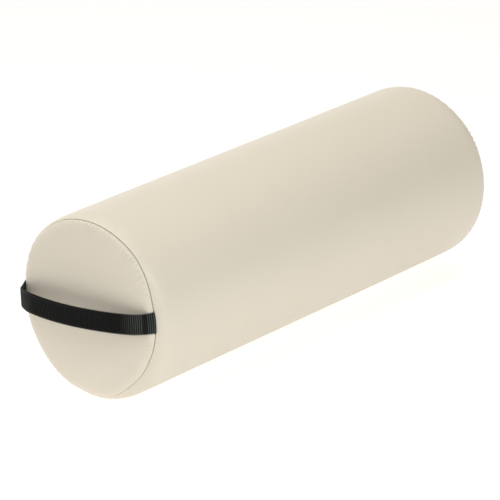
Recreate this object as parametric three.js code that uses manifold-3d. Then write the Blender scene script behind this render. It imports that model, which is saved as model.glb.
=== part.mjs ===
// A full-round bolster for a massage table: a foam cylinder in a sewn vinyl cover, with a webbing
// handle sewn across one end and a zip along the back.
// Millimetres. X runs along the roller with the handle at the -X end, and Z is up.
// The origin lies on the ground, under the middle of the roller.

import * as THREE from "three";
import { mergeVertices } from "three/addons/utils/BufferGeometryUtils.js";
import Module from "manifold-3d";

const wasm = await Module();
wasm.setup();

// Roller
const RADIUS = 114.3; // outside of the cover, a nine-inch roller
const LENGTH = 640; // from end seam to end seam
const HALF = LENGTH / 2;
const SETTLE = 1.2; // the foam flattens this much where it rests
const AXIS_HEIGHT = RADIUS - SETTLE;
const GROUND = -AXIS_HEIGHT; // seen from the roller's axis
const TURNS = 48; // sides of every turned piece, so that layers stay parallel

// Cover
const VINYL = 1.2;
const GAP = 0.3; // clearance between pieces that touch
const SEAM_RADIUS = 106.5; // the end panels' edge
const SEAM_LIP = SEAM_RADIUS + GAP + VINYL; // the tube panel turns in here
const ALLOWANCE = 11; // both panels' sewn edges point this far into the roller
const END_ROUND = 18; // the tube curves down to the seam over this length
const SHOULDER = 18; // width of the end panel's rounded edge
const BULGE = 9; // how far the end panel stands out inside its shoulder
const CROWN = 1.8; // and how much more at its middle

// Filling
const CORE_RADIUS = SEAM_RADIUS - VINYL - 1.0;
const CORE_HALF = HALF - 2;
const THREAD = 0.4;

// Handle
const STRAP_WIDTH = 25.4;
const STRAP_THICKNESS = 1.5;
const HANDLE_RISE = 5; // the handle is sewn on this far above the axis
const STRAP_SPLIT = 82; // beyond this distance from the middle the strap keeps still
// Middle line of the strap: distance out from the seam plane, and position across the end.
const STRAP_LINE = [
  [-ALLOWANCE, -107.6],
  [0, -107.6],
  [3, -107],
  [8, -103],
  [14, -96],
  [20, -85],
  [27, -66],
  [33, -40],
  [37, -8],
  [37.5, 18],
  [36, 40],
  [33.5, 57],
  [30.5, 71],
  [26.5, 83],
  [21.5, 91],
  [14.5, 97.5],
  [8, 102.6],
  [3, 107],
  [0, 107.6],
  [-ALLOWANCE, 107.6],
];

// Zip, seen from the roller's axis: across it, and out from the axis
const ZIP_ANGLE = 22.5; // above the horizontal, on the back of the roller
const SLOT_HALF = 278;
const SLOT_SIDE = 5.5;
const FOLD_SIDE = 18; // the vinyl is folded under this far from the middle of the zip
const FOLD_RADIUS = RADIUS - 2 * VINYL;
const TAPE_HALF = 284;
const TAPE_IN = 1.2;
const TAPE_OUT = 16;
const TAPE_RADIUS = FOLD_RADIUS - 2 * GAP - 0.3;
const TAPE_THICKNESS = 0.6;
const COIL_HALF = 272;
const COIL_IN = 0.5;
const COIL_OUT = 3.3;
const COIL_LOW = 111.9;
const COIL_HIGH = 113.9;
const SLIDER_REST = -265;
const SLIDER_TOP = 115.6;
const PULL_RADIUS = 117.2; // the pull turns about a bar this far out
const PULL_TILT = 3.5; // degrees, lying on the cover
const PULL_LENGTH = 30;

// The geometry as a manifold-3d solid, without its faces of no area.
function solid(geometry) {
  geometry.deleteAttribute("normal");
  geometry.deleteAttribute("uv");
  const merged = mergeVertices(geometry, 1e-4);
  const index = merged.index.array;
  const faces = [];
  for (let i = 0; i < index.length; i += 3) {
    const [a, b, c] = index.slice(i, i + 3);
    if (a !== b && b !== c && c !== a) faces.push(a, b, c);
  }
  return new wasm.Manifold(
    new wasm.Mesh({
      numProp: 3,
      vertProperties: merged.attributes.position.array,
      triVerts: new Uint32Array(faces),
    }),
  );
}

// A solid turned about X from a closed outline of [x, radius] points.
function turned(outline) {
  const points = outline.map(([x, radius]) => new THREE.Vector2(radius, x));
  if (THREE.ShapeUtils.isClockWise(points)) points.reverse();
  points.push(points[0].clone());
  const alongX = new THREE.Matrix4().makeBasis(
    new THREE.Vector3(0, 0, 1),
    new THREE.Vector3(1, 0, 0),
    new THREE.Vector3(0, 1, 0),
  );
  return solid(new THREE.LatheGeometry(points, TURNS).applyMatrix4(alongX));
}

function ring(x0, x1, inner, outer) {
  return turned([[x0, inner], [x1, inner], [x1, outer], [x0, outer]]);
}

// A box between two corners, turned about X by an angle in degrees.
function box([x0, y0, z0], [x1, y1, z1], turn = 0) {
  const geometry = new THREE.BoxGeometry(x1 - x0, y1 - y0, z1 - z0)
    .translate((x0 + x1) / 2, (y0 + y1) / 2, (z0 + z1) / 2)
    .rotateX(THREE.MathUtils.degToRad(turn));
  return solid(geometry);
}

// An outline of [x, y] points raised from z0 to z1.
function raised(outline, z0, z1) {
  const shape = new THREE.Shape(outline.map(([x, y]) => new THREE.Vector2(x, y)));
  const settings = { depth: z1 - z0, bevelEnabled: false };
  return solid(new THREE.ExtrudeGeometry(shape, settings).translate(0, 0, z0));
}

// An outline of [x, z] points drawn out to both sides of the XZ plane.
function drawnAcross(outline, side, hole = []) {
  const shape = new THREE.Shape(outline.map(([x, z]) => new THREE.Vector2(x, z)));
  if (hole.length) {
    shape.holes.push(new THREE.Path(hole.map(([x, z]) => new THREE.Vector2(x, z))));
  }
  const settings = { depth: 2 * side, bevelEnabled: false };
  const geometry = new THREE.ExtrudeGeometry(shape, settings).translate(0, 0, -side);
  return solid(geometry.rotateX(Math.PI / 2));
}

// An outline of [y, z] points drawn out along X.
function drawnAlong(outline, x0, x1) {
  const shape = new THREE.Shape(outline.map(([y, z]) => new THREE.Vector2(y, z)));
  const alongX = new THREE.Matrix4().makeBasis(
    new THREE.Vector3(0, 1, 0),
    new THREE.Vector3(0, 0, 1),
    new THREE.Vector3(1, 0, 0),
  );
  const geometry = new THREE.ExtrudeGeometry(shape, { depth: x1 - x0, bevelEnabled: false });
  return solid(geometry.applyMatrix4(alongX).translate(x0, 0, 0));
}

function piece(name, shape, color, roughness = 0.6, metalness = 0) {
  const mesh = shape.getMesh();
  const geometry = new THREE.BufferGeometry()
    .setAttribute("position", new THREE.BufferAttribute(mesh.vertProperties, 3))
    .setIndex(new THREE.BufferAttribute(mesh.triVerts, 1));
  const part = new THREE.Mesh(
    geometry,
    new THREE.MeshStandardMaterial({ color, roughness, metalness }),
  );
  part.name = name;
  return part;
}

// Points from 0 to a quarter turn, as [sine, cosine].
function quarter(steps) {
  return Array.from({ length: steps + 1 }, (_, i) => {
    const angle = ((i / steps) * Math.PI) / 2;
    return [Math.sin(angle), Math.cos(angle)];
  });
}

// The same outline at both ends of the roller: [distance in from the seam plane, radius].
function bothEnds(outline) {
  const front = outline.map(([inward, radius]) => [inward - HALF, radius]);
  const rear = outline.map(([inward, radius]) => [HALF - inward, radius]);
  return [...front, ...rear.reverse()];
}

// The tube panel's curve from the seam up to its full radius, a depth below the outside.
function endCurve(depth) {
  return quarter(4)
    .map(([sine, cosine]) => [
      END_ROUND - (END_ROUND - GAP - depth) * sine,
      SEAM_LIP + (RADIUS - depth - SEAM_LIP) * cosine,
    ])
    .reverse();
}

// Everything inside the tube panel's curve at that depth.
function barrel(depth) {
  const curve = endCurve(depth);
  return turned(bothEnds([[curve[0][0], 0], ...curve]));
}

const everywhere = 400;
function above(height) {
  return box([-everywhere, -everywhere, height], [everywhere, everywhere, everywhere]);
}

// A stretch of ring in the zip's own frame, between two distances across the zip.
function zipBand(halfLength, inner, outer, from, to) {
  const band = box([-halfLength, from, 0], [halfLength, to, everywhere]);
  return ring(-halfLength - 1, halfLength + 1, inner, outer).intersect(band);
}

// The same stretch in the roller's frame, as wide on both sides of the zip.
function rollerBand(halfLength, inner, outer, side) {
  const low = [-halfLength, -side, 0];
  const high = [halfLength, side, everywhere];
  const band = box(low, high, ZIP_ANGLE - 90);
  return ring(-halfLength - 1, halfLength + 1, inner, outer).intersect(band);
}

function coverBody() {
  const foot = [
    [ALLOWANCE, SEAM_LIP],
    [ALLOWANCE, SEAM_LIP - VINYL],
    [GAP + VINYL, SEAM_LIP - VINYL],
    [GAP + VINYL * 0.3, SEAM_LIP - VINYL * 0.7],
  ];
  const tube = turned(
    bothEnds([...endCurve(VINYL).reverse(), ...foot, ...endCurve(0)]),
  );
  const footprint = barrel(VINYL / 2)
    .intersect(above(GROUND))
    .subtract(above(GROUND + VINYL));
  const fold = rollerBand(SLOT_HALF + 12, FOLD_RADIUS, RADIUS - VINYL / 2, FOLD_SIDE);
  let cover = tube.intersect(above(GROUND)).add(footprint).add(fold);
  cover = cover.subtract(rollerBand(SLOT_HALF, 100, 120, SLOT_SIDE));
  for (const side of [-1, 1]) {
    cover = cover.subtract(strapRoom(side));
  }
  return cover;
}

// Room for the sewn end of the strap in the tube panel's edge.
function strapRoom(side) {
  const reach = STRAP_WIDTH / 2 + 0.5;
  const ys = [side * 95, side * 108.65].sort((a, b) => a - b);
  const low = [-HALF - 5, ys[0], HANDLE_RISE - reach];
  const high = [-HALF + ALLOWANCE + 0.5, ys[1], HANDLE_RISE + reach];
  return box(low, high);
}

// The end panel's outline, a depth below its outside, from the middle to the edge.
function domeCurve(depth) {
  const flat = SEAM_RADIUS - SHOULDER;
  const crown = [0, 0.6].map((share) => [
    -BULGE - CROWN * (1 - share * share) + depth,
    share * flat,
  ]);
  const shoulder = quarter(4).map(([sine, cosine]) => [
    -(BULGE - depth) * cosine,
    flat + (SHOULDER - depth) * sine,
  ]);
  return [...crown, ...shoulder];
}

// The end panel at the -X end; side 1 mirrors it to the other end.
function endPanel(side) {
  const outline = [
    ...domeCurve(0),
    [ALLOWANCE, SEAM_RADIUS],
    [ALLOWANCE, SEAM_RADIUS - VINYL],
    ...domeCurve(VINYL).reverse(),
  ];
  return turned(outline.map(([inward, radius]) => [side * (HALF - inward), radius]));
}

// A soft disc that fills the end panel out to its domed shape.
function endPad(side) {
  const back = HALF - CORE_HALF - GAP;
  const depth = VINYL + GAP;
  const outline = [
    ...domeCurve(depth),
    [back, SEAM_RADIUS - depth],
    [back, 0],
  ];
  return turned(outline.map(([inward, radius]) => [side * (HALF - inward), radius]));
}

function seamThread(side) {
  const outer = SEAM_RADIUS - VINYL - GAP;
  const xs = [side * (HALF - 4), side * (HALF - 4.8)].sort((a, b) => a - b);
  return ring(xs[0], xs[1], outer - THREAD, outer);
}

function foamCore() {
  return turned([[-CORE_HALF, 0], [-CORE_HALF, CORE_RADIUS], [CORE_HALF, CORE_RADIUS], [CORE_HALF, 0]]);
}

function fibreWrap() {
  const under = RADIUS - VINYL - GAP;
  const wrap = turned(
    bothEnds([
      [ALLOWANCE + 1, CORE_RADIUS + GAP],
      [ALLOWANCE + 1, under - 0.9],
      [END_ROUND, under],
    ]),
  );
  return wrap
    .intersect(above(GROUND + VINYL + GAP))
    .subtract(rollerBand(SLOT_HALF + 14, TAPE_RADIUS - GAP, 120, FOLD_SIDE + 1))
    .subtract(rollerBand(SLOT_HALF - 3, 108.7, 120, 6));
}

// The whole strap, from one sewn end to the other.
function wholeStrap() {
  const line = new THREE.CatmullRomCurve3(
    STRAP_LINE.map(([out, across]) => new THREE.Vector3(-HALF - out, across, 0)),
    false,
    "centripetal",
  );
  const steps = 2 * (STRAP_LINE.length - 1);
  const near = [];
  const far = [];
  for (let i = 0; i <= steps; i++) {
    const at = line.getPoint(i / steps);
    const along = line.getTangent(i / steps);
    const half = STRAP_THICKNESS / 2;
    near.push([at.x - along.y * half, at.y + along.x * half]);
    far.push([at.x + along.y * half, at.y - along.x * half]);
  }
  const low = HANDLE_RISE - STRAP_WIDTH / 2;
  return raised([...near, ...far.reverse()], low, low + STRAP_WIDTH);
}

function strapBetween(y0, y1) {
  const low = [-everywhere, y0, -50];
  const high = [everywhere, y1, 50];
  return wholeStrap().intersect(box(low, high));
}

// The tack that holds the strap's sewn end to the seam allowance.
function handleTack(side) {
  const outside = 107.6 + STRAP_THICKNESS / 2;
  const ys = [side * (outside + GAP), side * (outside + GAP + THREAD)].sort((a, b) => a - b);
  const reach = STRAP_WIDTH / 2 - 2;
  const low = [-HALF + 6, ys[0], HANDLE_RISE - reach];
  const high = [-HALF + 8, ys[1], HANDLE_RISE + reach];
  return box(low, high);
}

function zipTape(side) {
  const across = [side * TAPE_IN, side * TAPE_OUT].sort((a, b) => a - b);
  return zipBand(TAPE_HALF, TAPE_RADIUS, TAPE_RADIUS + TAPE_THICKNESS, ...across);
}

function zipStitch(side) {
  const across = [side * 7.6, side * 8.4].sort((a, b) => a - b);
  const low = RADIUS + GAP;
  return zipBand(SLOT_HALF + 2, low, low + THREAD, ...across);
}

// A row of coil, rounded on top.
function zipCoil(side) {
  const outline = [
    [COIL_IN, COIL_LOW],
    [COIL_OUT - 0.5, COIL_LOW],
    [COIL_OUT, COIL_LOW + 0.6],
    [COIL_OUT, COIL_HIGH - 0.7],
    [COIL_OUT - 0.7, COIL_HIGH],
    [COIL_IN + 0.3, COIL_HIGH],
    [COIL_IN, COIL_HIGH - 0.3],
  ];
  return drawnAlong(outline.map(([y, z]) => [side * y, z]), -COIL_HALF, COIL_HALF);
}

function zipTopStop(side) {
  const across = [side * COIL_IN, side * COIL_OUT].sort((a, b) => a - b);
  const low = [-COIL_HALF - 4, across[0], COIL_LOW];
  const high = [-COIL_HALF - 0.6, across[1], COIL_HIGH + 0.2];
  return box(low, high);
}

function zipBottomStop() {
  const low = [COIL_HALF + 0.6, -COIL_OUT, COIL_LOW];
  const high = [COIL_HALF + 4.5, COIL_OUT, COIL_HIGH + 0.2];
  return box(low, high);
}

// The slider: two plates joined by a post between the coils, side walls, and an arch on top.
function zipSlider() {
  const half = [
    [-6.5, 3.6],
    [-5, 4.9],
    [0, 4.9],
    [5.5, 4.3],
    [6.5, 3.4],
  ];
  const plate = [...half, ...half.map(([x, y]) => [x, -y]).reverse()].reverse();
  const plateLow = COIL_HIGH + 0.5;
  const top = raised(plate, plateLow, SLIDER_TOP);
  const bottom = raised(plate, 109.2, 110.4);
  const channel = box([-10, -3.7, 100], [10, 3.7, plateLow]);
  const walls = raised(plate, 112.2, plateLow + 0.4).subtract(channel);
  const post = box([-5.5, -0.25, 110], [-1.5, 0.25, plateLow + 0.4]);
  const arch = drawnAcross(
    [
      [-3.8, SLIDER_TOP - 0.4],
      [3.8, SLIDER_TOP - 0.4],
      [3.8, 118],
      [2.6, 119.4],
      [-2.6, 119.4],
      [-3.8, 118],
    ],
    1.5,
    [
      [-2.2, 116.2],
      [-2.2, 118.4],
      [2.2, 118.4],
      [2.2, 116.2],
    ],
  );
  return [bottom, walls, post, arch].reduce((sum, next) => sum.add(next), top);
}

// The pull: a bar through the arch, two sides, and a rounded tab. Its bar lies at the origin.
function zipPull() {
  const thick = 0.7;
  const bar = solid(new THREE.CylinderGeometry(thick, thick, 6, 10));
  const left = box([-0.7, 2.2, -thick], [6, 3.4, thick]);
  const right = box([-0.7, -3.4, -thick], [6, -2.2, thick]);
  const tab = raised(
    [
      [5, -3.4],
      [8, -3.6],
      [PULL_LENGTH - 2.5, -3.6],
      [PULL_LENGTH - 0.7, -2.6],
      [PULL_LENGTH, 0],
      [PULL_LENGTH - 0.7, 2.6],
      [PULL_LENGTH - 2.5, 3.6],
      [8, 3.6],
      [5, 3.4],
    ],
    -thick,
    thick,
  );
  return bar.add(left).add(right).add(tab);
}

const CREAM = "#ded6c4";
const BLACK = "#17171a";
const FOAM = "#d9cf9f";
const FIBRE = "#f0eee8";
const BEIGE = "#cfc5b0";
const METAL = "#a9a79f";

const roller = new THREE.Group();
roller.position.z = AXIS_HEIGHT;
roller.add(
  piece("cover_body", coverBody(), CREAM, 0.45),
  piece("cover_front_end", endPanel(-1), CREAM, 0.45),
  piece("cover_rear_end", endPanel(1), CREAM, 0.45),
  piece("front_seam_thread", seamThread(-1), BEIGE),
  piece("rear_seam_thread", seamThread(1), BEIGE),
  piece("foam_core", foamCore(), FOAM, 0.95),
  piece("fibre_wrap", fibreWrap(), FIBRE, 0.95),
  piece("front_end_pad", endPad(-1), FIBRE, 0.95),
  piece("rear_end_pad", endPad(1), FIBRE, 0.95),
  piece("handle_strap", strapBetween(-STRAP_SPLIT + GAP / 2, STRAP_SPLIT - GAP / 2), BLACK),
  piece("handle_end_left", strapBetween(-everywhere, -STRAP_SPLIT - GAP / 2), BLACK),
  piece("handle_end_right", strapBetween(STRAP_SPLIT + GAP / 2, everywhere), BLACK),
  piece("handle_tack_left", handleTack(-1), BLACK),
  piece("handle_tack_right", handleTack(1), BLACK),
);

const zip = new THREE.Group();
zip.rotation.x = THREE.MathUtils.degToRad(ZIP_ANGLE - 90);
zip.add(
  piece("zip_tape_upper", zipTape(-1), BEIGE),
  piece("zip_tape_lower", zipTape(1), BEIGE),
  piece("zip_coil_upper", zipCoil(-1), BEIGE),
  piece("zip_coil_lower", zipCoil(1), BEIGE),
  piece("zip_stitch_upper", zipStitch(-1), BEIGE),
  piece("zip_stitch_lower", zipStitch(1), BEIGE),
  piece("zip_top_stop_upper", zipTopStop(-1), METAL, 0.4, 1),
  piece("zip_top_stop_lower", zipTopStop(1), METAL, 0.4, 1),
  piece("zip_bottom_stop", zipBottomStop(), METAL, 0.4, 1),
);

const slider = piece("zip_slider", zipSlider(), METAL, 0.4, 1);
slider.position.x = SLIDER_REST;
const pull = piece("zip_pull", zipPull(), METAL, 0.4, 1);
pull.position.set(SLIDER_REST, 0, PULL_RADIUS);
pull.rotation.y = THREE.MathUtils.degToRad(PULL_TILT);
zip.add(slider, pull);
roller.add(zip);

const bolster = new THREE.Group();
bolster.add(roller);

export default bolster;
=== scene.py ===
import math

import bmesh
import bpy
import numpy as np
from mathutils import Matrix, Vector


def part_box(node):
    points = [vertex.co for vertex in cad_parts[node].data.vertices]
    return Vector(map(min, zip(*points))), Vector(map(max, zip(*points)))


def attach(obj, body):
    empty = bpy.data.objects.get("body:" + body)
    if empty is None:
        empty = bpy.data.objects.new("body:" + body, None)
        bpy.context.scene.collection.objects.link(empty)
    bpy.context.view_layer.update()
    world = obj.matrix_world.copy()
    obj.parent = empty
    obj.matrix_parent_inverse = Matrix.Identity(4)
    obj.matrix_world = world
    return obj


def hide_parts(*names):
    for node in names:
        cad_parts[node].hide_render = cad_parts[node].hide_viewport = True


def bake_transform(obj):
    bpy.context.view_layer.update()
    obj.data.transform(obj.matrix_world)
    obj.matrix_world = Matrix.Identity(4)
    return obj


# A full-round massage bolster: sewn vinyl cover, foam filling, webbing handle and a zip behind.
# Metres. X runs along the roller with the handle at the -X end, and Z is up.

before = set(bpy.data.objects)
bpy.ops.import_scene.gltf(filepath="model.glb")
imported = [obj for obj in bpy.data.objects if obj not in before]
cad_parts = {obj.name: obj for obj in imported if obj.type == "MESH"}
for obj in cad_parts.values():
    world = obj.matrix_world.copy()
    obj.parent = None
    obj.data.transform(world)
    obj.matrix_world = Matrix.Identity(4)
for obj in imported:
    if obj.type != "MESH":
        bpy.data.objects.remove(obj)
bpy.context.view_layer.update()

MM = 0.001

# Roller, as the frame has it
_, cover_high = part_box("cover_body")
panel_low, panel_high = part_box("cover_front_end")
_, core_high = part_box("foam_core")
GAP = 0.3 * MM
RADIUS = cover_high.y
AXIS_Z = cover_high.z - RADIUS
HALF = cover_high.x + GAP
SEAM_RADIUS = panel_high.y
CROWN = 1.8 * MM
BULGE = -panel_low.x - HALF - CROWN
CORE_HALF = core_high.x
CORE_RADIUS = core_high.y

# Cover
SKIN = 0.7 * MM  # thickness of the vinyl
END_ROUND = 20 * MM  # the tube panel curves down to the seam over this length
END_SLOPE = math.radians(48)  # and meets it this steeply
SHOULDER = 20 * MM  # width of the end panel's rounded edge
SHOULDER_SLOPE = math.radians(66)
PANEL_FLAT = SEAM_RADIUS - SHOULDER  # radius of its nearly flat middle
LIP = 0.8 * MM  # radius with which each panel turns into a seam
SEAM_DEPTH = 3 * MM
SEAM_GAP = 0.16 * MM
SLANT_X, SLANT_RADIUS = 0.58, 0.8  # direction of a seam, in from the end and towards the axis
# How far the seam strays outwards from its circle at the handle end, in millimetres, at angles
# in degrees from +Y over the top. The handle pulls it in at both sides.
SEAM_STRAYS = [
    (-180, -3.3),
    (-150, -4.9),
    (-130, -4.7),
    (-100, 1.5),
    (-70, 1.5),
    (-25, -3.0),
    (3, -5.0),
    (45, 2.5),
    (75, 4.9),
    (130, 5.0),
    (172, -3.2),
    (180, -3.3),
]
# Where the end panels pucker beside the seam: middle and reach in degrees, and depth in
# millimetres.
PUCKERS = [(95, 28, 0.85), (143, 20, 0.85), (-163, 12, 0.7), (40, 18, 0.4), (-60, 25, 0.3)]
PUCKERS_AROUND = 108
GATHERS_AROUND = 58  # the tube panel's own, smaller folds beside the seam
GATHER_DEPTH = 0.42 * MM
TUBE_AROUND, TUBE_ALONG = 272, 44  # points round the tube panel, and along its straight half
PANEL_RINGS = 47  # rings of the end panel's mesh, before it is subdivided
PANEL_RIM = 6 * PANEL_RINGS  # points in the outermost ring, and in each row of its lip
PRESSURE_FRAMES = 24
MOST_PUFF = 2.5 * MM  # how far the filling may move the end panels

# Stitches: pitch, length and thickness
SEAM_STITCH = (4 * MM, 3.4 * MM, 0.5 * MM)
ZIP_STITCH = (4 * MM, 3.3 * MM, 0.55 * MM)
TACK_STITCH = (1.2 * MM, 1.2 * MM, 0.4 * MM)

# Filling
CORNER = 22 * MM  # the foam's ends are pressed round this much
CORE_STRAIGHT = 280 * MM  # the foam's evenly spaced rings end here, short of its corners
PAD_RADIUS = 93 * MM
PAD_EYE = 6 * MM  # radius of the flat spot in the middle of a pad
WRAP_HALF = 298 * MM
WRAP_TUCK = 4 * MM  # the wadding is pressed in this much at its ends
# The wadding's outside under the coil, under the tapes and elsewhere
WRAP_RADII = (108.2 * MM, 110.2 * MM, 112.2 * MM)

# Zip, on the back: out from the roller's axis, and across the zip
ZIP_ANGLE = math.radians(22.5)
SLOT_HALF = 278 * MM
SLOT_SIDE = 5.5 * MM
STITCH_ACROSS = 8 * MM
STITCH_SINK = 0.35 * MM  # the stitching pulls the vinyl in this much
GROOVE_REACH = 1.3 * MM  # to both sides of it
TAPE_HALF = 284 * MM
TAPE_RADIUS = 111.3 * MM
TAPE_THICKNESS = 0.6 * MM
TAPE_ACROSS = (1.2 * MM, 16 * MM)
# A tape's section, from the coil outwards: shares of the way across, and of the thickness there
TAPE_SHARES = np.array([0, 0.03, 0.08, 0.2, 0.4, 0.6, 0.8, 0.94, 1])
TAPE_THICKNESSES = np.array([0.4, 0.9, 1, 1, 0.85, 0.8, 0.8, 0.95, 0.4])
COIL_HALF = 272 * MM
COIL_RADIUS = 112.9 * MM
COIL_PITCH = 1.4 * MM
COIL_WIRE = 0.28 * MM
COIL_MIDDLE = 1.5 * MM  # of one row's turns, from the middle of the zip
COIL_REACH = 1.65 * MM  # of each turn from there, to both sides
COIL_RISE = 0.68 * MM

# Handle
STRAP_WIDTH = 25.4 * MM
STRAP_THICKNESS = 1.5 * MM
HANDLE_Z = (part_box("handle_strap")[0].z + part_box("handle_strap")[1].z) / 2
RIB_PITCH = 2.5 * MM
RIB_HEIGHT = 0.26 * MM
YARN_PITCH = 1.35 * MM
EDGE_WAVE = 0.7 * MM  # how far the ribs stand out of the strap's edges
BEND_PINCH = 1.6 * MM  # how much narrower each half is, in the bend near the second end
BEND_START, BEND_END = (74 * MM, 86 * MM), (93 * MM, 100 * MM)  # across the roller's end
TACK_ROWS = 24
TACK_SWAY = 0.8 * MM
# Painted highlight: the ribs' crests are painted paler near both ends of the strap, standing in for
# glints of the light, fully up to the first distance and not at all past the second. From the strap's
# second end both lie further. At a crease the glint is left out, as painted shade.
RIB_GLINT_REACH = (30 * MM, 52 * MM)
RIB_GLINT_FURTHER = 14 * MM
CREASE = 21 * MM
# Middle line of the strap in millimetres: out from the seam plane, and across the end.
STRAP_LINE = [
    (-4.6, -96.4),
    (-1.5, -100.7),
    (0.1, -102.9),
    (1.8, -103.3),
    (5, -101.3),
    (9, -98.2),
    (13, -94.7),
    (20, -85),
    (27, -66),
    (33, -40),
    (37, -8),
    (37.5, 18),
    (36, 40),
    (33.5, 57),
    (30.5, 71),
    (26.5, 83),
    (22, 89.7),
    (14, 94.7),
    (9, 97.6),
    (5, 100.2),
    (1.8, 102.1),
    (0.1, 101.7),
    (-1.5, 99.5),
    (-4.6, 95.2),
]


# ---------- camera, light and floor

VIEW_AZIMUTH = math.radians(-49.44)
VIEW_ELEVATION = math.radians(19.2)
VIEW_ROLL = math.radians(-2.44)
VIEW_DISTANCE = 4.3455
VIEW_OFFSET = (-15.5 * MM, -18.0 * MM)  # of the aim, to the right and up
SENSOR_WIDTH = 36
LENS_PER_WIDTH = 6.9746
FARTHEST_SEEN = 50

CEILING_STRENGTH = 1.43
WALL_STRENGTH = 2.0
LAMPS_AIM = Vector((-0.1, 0, AXIS_Z))
# Name, place, width, watts and colour
LAMPS = (
    ("overhead", (0.3, 0.9, 2.6), 2.4, 15, (1, 0.88, 0.73)),
    ("beside", (-0.6, -1.5, 0.9), 0.9, 9.1, (0.96, 0.99, 1)),
    ("far_side", (-0.9, 0.9, 1.5), 0.9, 2.8, (1, 1, 1)),
    ("before_handle", (-1.6, -0.9, 0.6), 0.6, 1.6, (1, 1, 1)),
    ("high_corner", (-1.2, -1.6, 2.0), 0.8, 2.2, (1, 1, 1)),
)

FLOOR_RADIUS = 14
# The floor's own light, a painted glow: strongest near the roller, where it lights the roller from
# below and fills its contact shadow.
# Each falls from the first strength to the second between two distances from the roller's line of
# contact.
GLOW_UNDER = (0.2, 0, 0.03, 0.09)
GLOW_AROUND = (0.42, 0.2, 0.2, 0.4)


def make_camera():
    """The camera, with its roll about the line of sight."""
    back = Vector((
        math.sin(VIEW_AZIMUTH) * math.cos(VIEW_ELEVATION),
        -math.cos(VIEW_AZIMUTH) * math.cos(VIEW_ELEVATION),
        math.sin(VIEW_ELEVATION),
    ))
    level_right = Vector((0, 0, 1)).cross(back).normalized()
    level_up = back.cross(level_right)
    right = level_right * math.cos(VIEW_ROLL) + level_up * math.sin(VIEW_ROLL)
    up = back.cross(right)
    data = bpy.data.cameras.new("camera")
    data.sensor_width = SENSOR_WIDTH
    data.lens = SENSOR_WIDTH * LENS_PER_WIDTH
    data.clip_end = FARTHEST_SEEN
    camera = bpy.data.objects.new("camera", data)
    aim = Vector((0, 0, AXIS_Z)) + right * VIEW_OFFSET[0] + up * VIEW_OFFSET[1]
    place = aim + back * VIEW_DISTANCE
    turn = Matrix((right, up, back)).transposed().to_4x4()
    camera.matrix_world = Matrix.Translation(place) @ turn
    bpy.context.scene.collection.objects.link(camera)
    bpy.context.scene.camera = camera


def make_lamp(name, place, size, power, color):
    """A round area light, turned to the roller."""
    data = bpy.data.lights.new(name, "AREA")
    data.shape = "DISK"
    data.size = size
    data.energy = power
    data.color = color
    light = bpy.data.objects.new(name, data)
    direction = LAMPS_AIM - Vector(place)
    turn = direction.to_track_quat("-Z", "Y").to_matrix().to_4x4()
    light.matrix_world = Matrix.Translation(place) @ turn
    bpy.context.scene.collection.objects.link(light)


def make_light():
    """A pale room, brightest overhead and on the far side, with soft lights round the handle."""
    world = bpy.data.worlds.new("studio")
    world.use_nodes = True
    n = Nodes(world, "Background")
    n.inputs["Color"].default_value = (1, 1, 0.99, 1)
    toward = n.add("ShaderNodeSeparateXYZ", {0: n.add("ShaderNodeTexCoord").outputs["Generated"]})
    height = n.math("MAXIMUM", toward.outputs["Z"], 0)
    ceiling = n.math("MULTIPLY", n.math("POWER", height, 2), CEILING_STRENGTH)
    lowness = n.math("POWER", n.math("SUBTRACT", 1, height), 2)
    far_side = n.math("MULTIPLY", n.math("MAXIMUM", toward.outputs["Y"], 0), WALL_STRENGTH)
    wall = n.math("MULTIPLY", far_side, lowness)
    n.drive({"Strength": n.math("ADD", ceiling, wall)})
    bpy.context.scene.world = world
    for lamp in LAMPS:
        make_lamp(*lamp)
    bpy.context.scene.view_settings.view_transform = "Standard"


def make_floor():
    """A round sheet of white paper that glows: painted light, strongest round the roller, lighting it
    from below and filling the shadow where it touches.
    """
    bpy.ops.mesh.primitive_circle_add(vertices=128, radius=FLOOR_RADIUS, fill_type="NGON")
    floor = bpy.context.object
    floor.name = "floor"
    material, n = new_material("floor_paper", (0.8, 0.8, 0.8), 0.9)
    n.inputs["Emission Color"].default_value = (1, 0.985, 0.97, 1)
    place = n.add("ShaderNodeSeparateXYZ", {0: n.place()})
    past_end = n.math("SUBTRACT", n.math("ABSOLUTE", place.outputs["X"]), HALF)
    past_end = n.math("MAXIMUM", past_end, 0)
    away = n.math("ADD", n.math("POWER", past_end, 2), n.math("POWER", place.outputs["Y"], 2))
    away = n.math("SQRT", away)
    glow = n.math("ADD", n.spread(away, *GLOW_UNDER), n.spread(away, *GLOW_AROUND))
    n.drive({"Emission Strength": glow})
    floor.data.materials.append(material)


# ---------- materials


def new_material(name, color, roughness, metallic=0.0):
    """A material, and the helper that adds nodes to it."""
    material = bpy.data.materials.new(name)
    material.use_nodes = True
    n = Nodes(material, "Principled BSDF")
    n.inputs["Base Color"].default_value = (*color, 1)
    n.inputs["Roughness"].default_value = roughness
    n.inputs["Metallic"].default_value = metallic
    return material, n


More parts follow.
